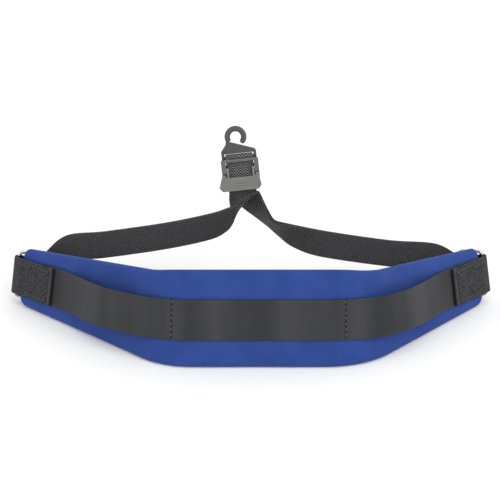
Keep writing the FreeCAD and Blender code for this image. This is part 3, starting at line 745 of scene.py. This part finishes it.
def foam_core():
    """The foam between the cloths; a line of it shows round the edge."""
    front, back = pad_surface(1, FOAM_INSET, 0.0), pad_surface(-1, FOAM_INSET, 0.0)
    piece = layer("foam_pad", front, back, FOAM)
    mend(piece.data, MERGE_DISTANCE)
    return piece


foam = foam_core()
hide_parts("pad_core")
face_cloth = cloth_shell("blue_jersey_face", 1, JERSEY_WRAP, JERSEY)
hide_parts("front_jersey")
back_cloth = cloth_shell("dark_lining_back", -1, LINING_WRAP, LINING)
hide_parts("back_lining")

# ------------ bands of cloth


def band_columns(half_width, half_thickness, step):
    """Places across a band: even, then closer together round its edges."""
    flat = half_width - half_thickness
    count = max(int(2 * flat / step), 4)
    inside = np.linspace(-flat, flat, count + 1)
    turn = flat + half_thickness * np.sin(np.radians([35.0, 65.0, 90.0]))
    return np.concatenate([-turn[::-1], inside, turn])


def band(name, centres, across, normals, width, thickness, step, relief, material, body):
    """A closed band of cloth along a line, with relief(x, y, face) on both faces."""
    columns = band_columns(width / 2, thickness / 2, step)
    beyond = np.maximum(np.abs(columns) - (width / 2 - thickness / 2), 0) / (thickness / 2)
    fade = np.sqrt(np.maximum(1 - beyond**2, 0))
    along = travelled(centres)
    x, y = np.meshgrid(columns, along)
    at = centres[:, None] + across[:, None] * x[..., None]
    front, back = (
        at + normals[:, None] * (face * (thickness / 2 + relief(x, y, face)) * fade)[..., None]
        for face in (1, -1)
    )
    last = len(columns) - 1
    order = list(range(last + 1)) + list(range(last - 1, 0, -1))
    rings = np.concatenate([front, back[:, 1:last][:, ::-1]], axis=1)
    side = np.concatenate([np.ones(last + 1), -np.ones(last - 1)])
    place = np.stack(
        [x[:, order], y[:, order], np.broadcast_to(side, (len(along), len(order)))], axis=2
    )
    count = len(order)
    faces = [tube_faces(len(along), count)]
    for start in (0, (len(along) - 1) * count):
        cap = []
        for j in range(last):
            corners = (j, j + 1, (count - j - 1) % count, (count - j) % count)
            cap.append(list(dict.fromkeys(start + k for k in corners)))
        faces.append(cap)
    every = [face for group in faces for face in group]
    return make_piece(
        name, rings.reshape(-1, 3), every, material, body, place.reshape(-1, 3)
    )


def herringbone(x, y, _face):
    """Relief of the narrow webbing, the same weave as its material's."""
    stripe = WEAVE_STRIPE - np.abs((x + WEBBING_WIDTH) % (2 * WEAVE_STRIPE) - WEAVE_STRIPE)
    rib = np.sin(2 * math.pi * (y + stripe * WEAVE_SLOPE) / WEAVE_PITCH)
    plain = 0.5 * np.sin(2 * math.pi * y / SELVAGE_PITCH)
    return WEAVE_RELIEF * np.where(np.abs(x) > SELVAGE_START, plain, rib)


# ------------ the front strip

STRIP_WIDTH = 30.0
STRIP_THICKNESS = 1.2
STRIP_SLACK = {LEFT: 9.0, RIGHT: 7.5}
SLACK_SHARE = 0.75
TAB_FRONT = 35.0
STRIP_OVERLAP = 12.0
STRIP_BULGE = 0.12
STRIP_MESH = 0.9
SEAM_PULL = 0.75
SEAM_PULL_WIDTH = 2.6
HEM_START = 10.6
HEM_RISE = 0.12
HEM_GROOVE = 0.10
LAYER_GAP = 0.05


def strip_slack(distance):
    """How far the strip stands off the collar between its seams and the tabs."""
    past = np.maximum(np.abs(distance) - CENTRE_HALF, 0)
    reach = np.minimum(past / pick(distance, ARM_LENGTH) / SLACK_SHARE, 1)
    return pick(distance, STRIP_SLACK) * np.sin(math.pi * reach) ** 2


def strip_press(distance):
    """How far the seams pull the strip into the pad."""
    return SEAM_PULL * sum(ridge(distance, side * CENTRE_HALF, SEAM_PULL_WIDTH) for side in SIDES)


def front_strip():
    ends = [collar_end(side) - side * (TAB_FRONT - STRIP_OVERLAP) for side in SIDES]
    distance = np.arange(ends[0], ends[1], 1.0)
    bulge = STRIP_BULGE * (1 + ripple(distance, distance * 0, seed=5, scale=30.0))
    slack = strip_slack(distance) + bulge
    depth = LAYER_GAP + STRIP_THICKNESS / 2 + slack - strip_press(distance)
    centres = on_collar(distance, strip_height(distance), depth)
    _, tangent, rib, normal = edge_frame(distance)
    along = unit(np.gradient(centres, axis=0))
    across = unit(rib - along * np.sum(rib * along, axis=1, keepdims=True))
    facing = np.cross(along, across)
    facing = facing * np.sign(np.sum(facing * normal, axis=1, keepdims=True))

    def relief(x, y, face):
        hem = HEM_RISE * ease(np.abs(x), HEM_START, HEM_START + 0.8)
        hem = hem - HEM_GROOVE * ridge(np.abs(x), HEM_START + 0.3, 0.45)
        return hem + 0.10 * ripple(x, y, seed=8, scale=26.0) * face

    at = travelled(centres)
    seams = [float(np.interp(side * CENTRE_HALF, distance, at)) for side in SIDES]
    return band(
        "front_strip_band", centres, across, facing, STRIP_WIDTH, STRIP_THICKNESS - 0.3,
        STRIP_MESH, relief, strip_material(seams), "collar",
    ), at[-1]


strip, strip_length = front_strip()
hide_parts("front_strip")

# ------------ stitches

THREAD_RADIUS = 0.48
THREAD_TWIST = 5.0
PLY_LOBES = 0.13
STITCH_PITCH = 3.2
STITCH_SHARE = 0.74
CROWN_HALF = 0.75


def stitches(name, rows, thread, replaced=None):
    """Rows of sewn stitches; each is a start, an end and the cloth's normal there."""
    points, faces, places = [], [], []
    sides, rings = 8, 9
    around = np.linspace(0, 2 * math.pi, sides, endpoint=False)
    for start, end, normal in rows:
        run = end - start
        direction = unit(run)
        across = np.cross(normal, direction)
        first = len(points) * rings * sides
        t = np.linspace(0, 1, rings)
        rise = THREAD_RADIUS * (1.7 * np.sin(math.pi * t) ** 0.6 - 0.9)
        radius = THREAD_RADIUS * (0.55 + 0.45 * np.sin(math.pi * t) ** 0.5)
        twist = around[None] - THREAD_TWIST * t[:, None]
        lobes = radius[:, None] * (1 + PLY_LOBES * np.cos(2 * twist))
        centre = start + run * t[:, None] + normal * rise[:, None]
        ring = centre[:, None] + lobes[..., None] * (
            across * np.cos(around)[None, :, None] + normal * np.sin(around)[None, :, None]
        )
        points.append(ring.reshape(-1, 3))
        faces += tube_faces(rings, sides, first).tolist()
        faces.append([first + k for k in range(sides)][::-1])
        faces.append([first + (rings - 1) * sides + k for k in range(sides)])
        along = t * np.linalg.norm(run)
        place = np.broadcast_arrays(around * THREAD_RADIUS, along[:, None], len(points) * 3.7)
        places.append(np.stack(place, axis=2).reshape(-1, 3))
    piece = make_piece(
        name, np.concatenate(points), faces, thread, "collar", np.concatenate(places)
    )
    if replaced:
        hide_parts(replaced)


def seam_rows(side, depth_of, facing):
    """An upright row of stitches where the strip is sewn down at a bend."""
    rows = []
    distance = side * CENTRE_HALF
    normal = edge_frame(distance)[3] * facing
    middle = float(strip_height(distance))
    for i in range(-3, 4):
        crown_grey_and_glint = middle + SEAM_PITCH * (i + 0.25)
        start, end = (
            on_collar(distance, up, depth_of(distance, up))
            for up in (crown_grey_and_glint - CROWN_HALF, crown_grey_and_glint + CROWN_HALF)
        )
        rows.append((start, end, normal))
    return rows


def strip_face(distance, _up):
    """Depth of the strip's outer face at a seam, a hair under it."""
    return LAYER_GAP + STRIP_THICKNESS - 0.03 - float(strip_press(np.array(distance)))


def lining_face(distance, up):
    """Depth of the lining's outer face."""
    return 2 * PAD_MIDDLE + float(pad_relief(np.array([distance]), np.array([up]))[0])


for side in SIDES:
    seam, replaced = SIDE_NAMES[side] + "_seam_thread", SIDE_NAMES[side] + "_strip_stitches"
    stitches(seam, seam_rows(side, strip_face, 1), SEAM_THREAD, replaced)
    stitches(seam + "_behind", seam_rows(side, lining_face, -1), SEAM_THREAD)

# ------------ tabs

TAB_WIDTH = 29.0
TAB_THICKNESS = 1.5
TAB_BACK = 28.0
TAB_REACH = 6.2
TAB_CLEAR = 0.15
TAB_ON_PAD = 0.35
TAB_BEHIND = 0.25
TAB_FLAT_END = 0.5
TAB_MESH = 0.42
TAB_STEP = (-24.5, -17.0)
FRONT_LIP, BACK_LIP = 0.75, 0.5
ROW_DENT = 0.22
SEWN_MARGIN = 3.0
SEWN_END = -8.5
FIRST_ROW = LIP_LENGTH + 1.2
ROW_GAP = 2.2
RING_WIRE = 2.4
RING_HOLE = RING_WIRE / 2 + 0.5
RING_INNER_SHORT = 16.0


def tab_axes(side):
    """Foot of the collar's end, the tab's run outwards, the rib and the normal."""
    foot, tangent, rib, normal = edge_frame(np.array(collar_end(side)))
    slope = (STRIP_END_HEIGHT - CENTRE_HEIGHT / 2) / ARM_LENGTH[side]
    return foot, tangent * side + rib * slope, rib, normal


def tab_front_depth(out):
    """Depth of the tab's inner face: over the strip's end, then down on the pad."""
    over_strip = LAYER_GAP + STRIP_THICKNESS + TAB_CLEAR
    return over_strip + (TAB_ON_PAD - over_strip) * ease(out, *TAB_STEP)


def tab_path(side):
    """Centre line of the tab: outwards along the front, round the ring and back."""
    foot, outwards, rib, normal = tab_axes(side)
    half = TAB_THICKNESS / 2
    front_out = np.linspace(-TAB_FRONT, TAB_FLAT_END, 60)
    front = np.stack([front_out, tab_front_depth(front_out) + half], axis=1)
    turn = arc((TAB_REACH, PAD_MIDDLE), RING_HOLE + half, 80, -80, 29)
    back_out = np.linspace(TAB_FLAT_END, -TAB_BACK, 40)
    back = np.stack([back_out, np.full(40, 2 * PAD_MIDDLE - TAB_BEHIND - half)], axis=1)
    line = np.concatenate([front, turn, back])
    points = foot + rib * STRIP_END_HEIGHT + line[:, :1] * outwards + line[:, 1:] * normal
    return points, rib, normal


def lip(run):
    """1 along a tab's turned-under lip, by the distance from its end."""
    return ease(run, 0.0, 0.8) * (1 - ease(run, LIP_LENGTH - 1.4, LIP_LENGTH))


def tab_relief(length):
    """Coarse ribs and yarns, pressed down along the sewn lines, and a thick lip."""
    sewn_half = TAB_WIDTH / 2 - SEWN_MARGIN
    last_row = TAB_FRONT + SEWN_END

    def relief(x, y, face):
        ribs = np.sin(2 * math.pi * y / TAB_RIB)
        yarns = np.sin(2 * math.pi * x / TAB_YARN + math.pi * np.floor(y / TAB_RIB))
        weave = 0.13 * ribs + 0.08 * yarns * (ribs > 0)
        lips = FRONT_LIP * lip(y) + BACK_LIP * lip(length - y)
        sewn = sum(ridge(y, at, 0.8) for at in (FIRST_ROW, FIRST_ROW + ROW_GAP, last_row))
        sewn = sewn * (np.abs(x) < sewn_half + 1)
        return (weave + lips - ROW_DENT * sewn) if face > 0 else 0.6 * weave

    return relief


def tab_point(side, out, high, facing):
    """A point on the tab's outer face and the normal there."""
    foot, outwards, rib, normal = tab_axes(side)
    middle = foot + rib * STRIP_END_HEIGHT
    if facing > 0:
        depth = float(tab_front_depth(out)) + TAB_THICKNESS
    else:
        depth = 2 * PAD_MIDDLE - TAB_BEHIND - TAB_THICKNESS
    return middle + outwards * out + rib * high + normal * depth, normal * facing


def tab_stitch_rows(side, facing):
    """A box with a cross in it, and a second row beside the lip."""
    near = -(TAB_FRONT if facing > 0 else TAB_BACK) + FIRST_ROW
    far = SEWN_END
    half = TAB_WIDTH / 2 - SEWN_MARGIN
    lines = [
        ((near, -half), (near, half)), ((far, -half), (far, half)),
        ((near + ROW_GAP, half), (near + ROW_GAP, -half)),
        ((near, half), (far, half)), ((near, -half), (far, -half)),
        ((near, -half), (far, half)), ((near, half), (far, -half)),
    ]
    rows = []
    for first, last in np.array(lines):
        run = last - first
        count = int(np.linalg.norm(run) / STITCH_PITCH)
        for i in range(count):
            start, normal = tab_point(side, *(first + run * i / count), facing)
            end, _ = tab_point(side, *(first + run * (i + STITCH_SHARE) / count), facing)
            rows.append((start, end, normal))
    return rows


def tab(side):
    points, rib, normal = tab_path(side)
    centres, across = resample(TAB_MESH, points, np.broadcast_to(rib, points.shape))
    along = unit(np.gradient(centres, axis=0))
    facing = np.cross(across, along)
    if np.dot(facing[3], normal) < 0:
        facing = -facing
    name = SIDE_NAMES[side] + "_tab"
    piece = band(
        name + "_webbing", centres, across, facing, TAB_WIDTH, TAB_THICKNESS, TAB_MESH,
        tab_relief(travelled(centres)[-1]), TAB_WEBBING, "collar",
    )
    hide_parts(name)
    stitches(name + "_thread", tab_stitch_rows(side, 1), TAB_THREAD, name + "_stitches")
    stitches(name + "_thread_behind", tab_stitch_rows(side, -1), TAB_THREAD)


for side in SIDES:
    tab(side)

# ------------ the slider's frame

JOINTS = {joint["name"]: joint for joint in frame["joints"]}


def hinge_line(name):
    """Place and direction of a hinge's axis."""
    return np.array(JOINTS[name]["pos_m"]) / MM, unit(JOINTS[name]["axis"])


CROSSBAR_Z = 9.7
crossbar, SLIDER_X = hinge_line("hook_swing")
SLIDER_Z = unit(JOINTS["strap_length"]["axis"])
SLIDER_Y = np.cross(SLIDER_Z, SLIDER_X)
SLIDER_ORIGIN = crossbar - SLIDER_Z * CROSSBAR_Z


def on_slider(points):
    """Points of the slider's own frame, X across, Y back and Z up, in the part's frame."""
    points = np.asarray(points, float)
    local = points[..., :1] * SLIDER_X + points[..., 1:2] * SLIDER_Y + points[..., 2:] * SLIDER_Z
    return SLIDER_ORIGIN + local


# ------------ webbing

WEBBING_THICKNESS = 1.3
WEBBING_GAP = 0.12
FOLD_HALF_GAP = 3.0
LEG_RIDE = 3.0
LEG_OPENING = 16.0
LEG_STEPS = 400
RING_YAW = math.radians(24.0)
WEAVE_STEP = 0.4

# Depth and height, in the slider's own frame, of two points where each leg leaves it
LEG_EXITS = {LEFT: ((-1.6, -11.7), (-1.6, -14.0)), RIGHT: ((1.4, -12.1), (1.45, -14.6))}

# Points that each leg's middle passes from the slider to the ring, and the direction of
# its width there: it leaves flat, rolls and then stands on edge.
ROUTES = {
    LEFT: [
        ((-5.7, 36.2, 91.2), (1.00, -0.03, 0.12)),
        ((-7.3, 33.3, 86.9), (0.75, -0.35, 0.57)),
        ((-9.0, 31.5, 82.0), (0.48, -0.48, 0.74)),
        ((-11.9, 31.2, 77.2), (0.15, -0.41, 0.90)),
        ((-18.3, 33.5, 70.8), (-0.05, -0.19, 0.98)),
        ((-31.0, 38.0, 63.1), (-0.10, 0.06, 0.99)),
        ((-63.1, 42.8, 53.3), (0.00, 0.22, 0.97)),
        ((-107.6, 45.5, 44.9), (0.00, 0.25, 0.97)),
        ((-138.1, 46.8, 40.5), (0.06, 0.18, 0.98)),
    ],
    RIGHT: [
        ((-5.4, 40.2, 89.2), (0.99, -0.05, 0.13)),
        ((-2.6, 43.4, 85.4), (0.90, -0.22, 0.38)),
        ((1.9, 42.2, 79.2), (0.72, -0.50, 0.47)),
        ((7.9, 40.2, 72.7), (0.47, -0.73, 0.50)),
        ((14.6, 39.2, 65.8), (0.22, -0.80, 0.56)),
        ((22.8, 40.0, 59.8), (0.18, -0.60, 0.78)),
        ((33.1, 41.6, 53.4), (0.12, -0.22, 0.97)),
        ((54.0, 43.8, 46.2), (0.06, 0.20, 0.98)),
        ((102.3, 46.4, 37.2), (0.00, 0.22, 0.97)),
        ((137.6, 48.6, 33.2), (-0.06, 0.20, 0.98)),
    ],
}


def ring_bar(side):
    """Centre of the ring's inner long bar, and the upright direction there."""
    pivot, rib = hinge_line(SIDE_NAMES[side] + "_ring_swing")
    inwards = np.array([-side * math.cos(RING_YAW), math.sin(RING_YAW), 0.0])
    inwards = unit(inwards - rib * (inwards @ rib))
    return pivot + inwards * (RING_INNER_SHORT + RING_WIRE), rib


def leg_line(side):
    """Centres, directions and widths along a leg, from the slider to the ring."""
    bar, rib = ring_bar(side)
    bar = bar + rib * LEG_RIDE
    centres = [on_slider([0, depth, height]) for depth, height in LEG_EXITS[side]]
    centres += [point for point, _ in ROUTES[side]] + [bar]
    widths = [SLIDER_X, SLIDER_X] + [unit(wide) for _, wide in ROUTES[side]] + [rib]
    line = smooth_line(centres, LEG_STEPS)
    wide = unit(smooth_line(widths, LEG_STEPS))
    along = unit(np.gradient(line, axis=0))
    wide[-1] = rib
    along[-1] = unit(along[-1] - rib * (along[-1] @ rib))
    return line, along, wide


def leg(side):
    """Two layers of webbing, one ribbon that turns round the ring's bar."""
    line, along, wide = leg_line(side)
    closed = WEBBING_THICKNESS / 2 + WEBBING_GAP / 2
    opened = WEBBING_THICKNESS / 2 + FOLD_HALF_GAP
    near = np.linalg.norm(line[-1] - line, axis=1)
    apart = opened + (closed - opened) * ease(near, 0, LEG_OPENING)
    face = unit(np.cross(wide, along))
    out = line + face * apart[:, None]
    back = line - face * apart[:, None]
    angles = np.linspace(0, math.pi, 24)[1:-1]
    radial = face[-1] * np.cos(angles)[:, None] + along[-1] * np.sin(angles)[:, None]
    turn = line[-1] + radial * opened
    centres = np.concatenate([out, turn, back[::-1]])
    across = np.concatenate([wide, np.repeat(wide[-1:], len(turn), axis=0), wide[::-1]])
    normals = np.concatenate([face, radial, -face[::-1]])
    centres, across, normals = resample(WEAVE_STEP, centres, across, normals)
    name = SIDE_NAMES[side]
    piece = band(
        name + "_leg_webbing", centres, unit(across), unit(normals), WEBBING_WIDTH,
        WEBBING_THICKNESS - 0.1, WEAVE_STEP, herringbone, WEBBING, "collar",
    )
    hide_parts(name + "_leg")


for side in SIDES:
    leg(side)

CHANNEL_MIDDLE = -0.3
STRAND = WEBBING_GAP / 2 + WEBBING_THICKNESS / 2
LOOP_TAIL = -7.4
LOOP_INNER = 1.32
ANCHOR_CENTRE = (2.3, -10.0)
ANCHOR_INNER = 1.12
ANCHOR_TAIL = -11.3


def slider_band(name, path, body, node):
    """Webbing that is seen edge-on as a path in the slider's YZ plane."""
    path = np.asarray(path, float)
    points = on_slider(np.concatenate([np.zeros((len(path), 1)), path], axis=1))
    across = np.broadcast_to(SLIDER_X, points.shape)
    centres, across = resample(WEAVE_STEP, points, across)
    along = unit(np.gradient(centres, axis=0))
    piece = band(
        name, centres, across, np.cross(across, along), WEBBING_WIDTH - 0.2,
        WEBBING_THICKNESS - 0.1, WEAVE_STEP, herringbone, LOOP_WEBBING, body,
    )
    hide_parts(node)
    return piece


def hook_loop():
    """Both strands that the lever clamps, and the turn over the hanger's bar."""
    front, back = CHANNEL_MIDDLE - STRAND, CHANNEL_MIDDLE + STRAND
    radius = LOOP_INNER + WEBBING_THICKNESS / 2
    middle = arc((0, CROSSBAR_Z), radius, 190, -10, 32)
    rise = smooth_line([(front, LOOP_TAIL), (front, 0.0), (front, 4.5), middle[0]], 24)
    fall = smooth_line([middle[-1], (back, 4.5), (back, 0.0), (back, LOOP_TAIL)], 24)
    piece = slider_band(
        "hook_loop_webbing", np.concatenate([rise, middle[1:-1], fall]), None, "webbing_loop"
    )
    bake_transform(piece)


def anchor_fold():
    """The webbing's end, sewn round the slider's lowest bar."""
    radius = ANCHOR_INNER + WEBBING_THICKNESS / 2
    turn = arc(ANCHOR_CENTRE, radius, 180, 0, 24)
    front, back = ANCHOR_CENTRE[0] - radius, ANCHOR_CENTRE[0] + radius
    path = np.concatenate([[(front, ANCHOR_TAIL)], turn, [(back, ANCHOR_TAIL)]])
    slider_band("anchor_webbing", path, "collar", "webbing_anchor")


hook_loop()
anchor_fold()

# ------------ moulded parts


def prism(outline, low, high):
    """Closed points and faces of a plate whose outline lies in the slider's XZ plane."""
    count = len(outline)
    points = [(x, low, z) for x, z in outline] + [(x, high, z) for x, z in outline]
    faces = [list(range(count))[::-1], [count + k for k in range(count)]]
    for k in range(count):
        following = (k + 1) % count
        faces.append([k, following, count + following, count + k])
    return points, faces


def moulded(name, node, extras, voxel, rounds, material, body, slot):
    """The CAD part with raised details added and its edges rounded as moulded ones are."""
    solid = bmesh.new()
    solid.from_mesh(frame["nodes"][node].data)
    for points, faces in extras:
        verts = [solid.verts.new(Vector(on_slider(p) * MM)) for p in points]
        for face in faces:
            solid.faces.new([verts[k] for k in face])
    bmesh.ops.remove_doubles(solid, verts=solid.verts, dist=1e-7)
    bmesh.ops.recalc_face_normals(solid, faces=solid.faces)
    rough = bpy.data.meshes.new(name + "_rough")
    solid.to_mesh(rough)
    solid.free()
    worker = add_object(name + "_rough", rough)
    remesh = worker.modifiers.new("remesh", "REMESH")
    remesh.mode = "VOXEL"
    remesh.voxel_size = voxel * MM
    soften = worker.modifiers.new("soften", "SMOOTH")
    soften.factor = 0.5
    soften.iterations = rounds
    evaluated = worker.evaluated_get(bpy.context.evaluated_depsgraph_get())
    mesh = bpy.data.meshes.new_from_object(evaluated)
    bpy.data.objects.remove(worker)
    mesh.name = name
    mesh.shade_smooth()
    mesh.materials.clear()
    mesh.materials.append(material)
    piece = add_object(name, mesh)
    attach(piece, body)
    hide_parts(node)


PLATE_FRONT = -5.4
PLATE_SHIFT = -1.1
PLATE_FOOT_HALF = 15.4
PLATE_CORNER = -11.2
PLATE_ARM_TOP = -1.9
PLATE_ARMS = {LEFT: -13.5, RIGHT: 12.6}
RIM_HEIGHT = 0.55
RIM_FOOT_RUN = 1.6
RIM_FOOT_WIDTH = 1.9
RIM_TOP_WIDTH = 1.5
RIM_ROOT = 0.6
GRIP_RIBS = (-6.9, -8.4, -9.9)
GRIP_HALF_LENGTH = 4.6
GRIP_HALF_WIDTH = 0.3
GRIP_HEIGHT = 0.28
GRIP_ROOT = 0.3


def lever_details():
    """Raised rims down the lever's slanted sides, and plain grip ribs."""
    extras = []
    for side, arm in PLATE_ARMS.items():
        foot = PLATE_SHIFT + side * PLATE_FOOT_HALF
        outline = [
            (arm, PLATE_ARM_TOP), (foot, PLATE_CORNER),
            (foot - side * RIM_FOOT_RUN, PLATE_CORNER - RIM_FOOT_RUN),
            (foot - side * RIM_FOOT_WIDTH, PLATE_CORNER), (arm - side * RIM_TOP_WIDTH, PLATE_ARM_TOP),
        ]
        extras.append(prism(outline, PLATE_FRONT - RIM_HEIGHT, PLATE_FRONT + RIM_ROOT))
    low, high = PLATE_SHIFT - GRIP_HALF_LENGTH, PLATE_SHIFT + GRIP_HALF_LENGTH
    for z in GRIP_RIBS:
        foot, top = z - GRIP_HALF_WIDTH, z + GRIP_HALF_WIDTH
        outline = [(low, foot), (high, foot), (high, top), (low, top)]
        extras.append(prism(outline, PLATE_FRONT - GRIP_HEIGHT, PLATE_FRONT + GRIP_ROOT))
    return extras


moulded(
    "lever_moulding", "cam_lever", lever_details(), 0.2, 5, LEVER_PLASTIC, "cam_lever",
    "lever_plastic",
)
moulded(
    "slider_moulding", "slider_frame", [], 0.22, 5, FRAME_PLASTIC, "collar", "slider_plastic"
)
moulded(
    "hook_moulding", "hook_hanger", [], 0.22, 6, HOOK_PLASTIC, "hook_hanger", "hook_plastic"
)

# ------------ floor, light and camera


def floor_material():
    shader = Shader("pale_floor", 0.9, specular=0.1)
    where = shader.solid()
    tone = shader.mix(shader.noise(where, 3.0), (0.93, 0.93, 0.93), (0.95, 0.95, 0.95))
    return shader.finish(tone)


FLOOR_HALF = 4.0
FLOOR_DROP = 0.0003
LENS = 162.9
CAMERA_PLACE = (-0.00065, -1.4454, 0.8000)
CAMERA_TILT = math.radians(27.0)
SKY_STRENGTH = 0.98


def stage():
    half = FLOOR_HALF
    mesh = bpy.data.meshes.new("floor")
    corners = [(-half, -half, 0), (half, -half, 0), (half, half, 0), (-half, half, 0)]
    mesh.from_pydata(corners, [], [(0, 1, 2, 3)])
    mesh.materials.append(floor_material())
    floor = add_object("floor", mesh)
    floor.location.z = cad_low.z - FLOOR_DROP


def lamp(name, energy, size, place, target):
    data = bpy.data.lights.new(name, "AREA")
    data.energy = energy
    data.shape = "DISK"
    data.size = size
    light = add_object(name, data)
    light.location = place
    light.rotation_euler = (target - place).to_track_quat("-Z", "Y").to_euler()


def camera():
    data = bpy.data.cameras.new("camera")
    data.sensor_width = 36.0
    data.lens = LENS
    data.clip_start, data.clip_end = 0.05, 50.0
    view = add_object("camera", data)
    view.location = CAMERA_PLACE
    view.rotation_euler = (math.radians(90.0) - CAMERA_TILT, 0.0, 0.0)
    bpy.context.scene.camera = view


def world():
    sky = bpy.data.worlds.new("studio")
    sky.use_nodes = True
    background = sky.node_tree.nodes["Background"]
    background.inputs["Color"].default_value = (1.0, 1.0, 1.0, 1.0)
    background.inputs["Strength"].default_value = SKY_STRENGTH
    bpy.context.scene.world = sky


stage()
world()
middle = (cad_low + cad_high) / 2
lamp("key", 12.0, 1.5, middle + Vector((0.9, -1.0, 1.3)), middle)
lamp("fill", 3.0, 1.2, middle + Vector((-1.2, -0.9, 0.8)), middle)
camera()
bpy.context.scene.view_settings.view_transform = "Standard"
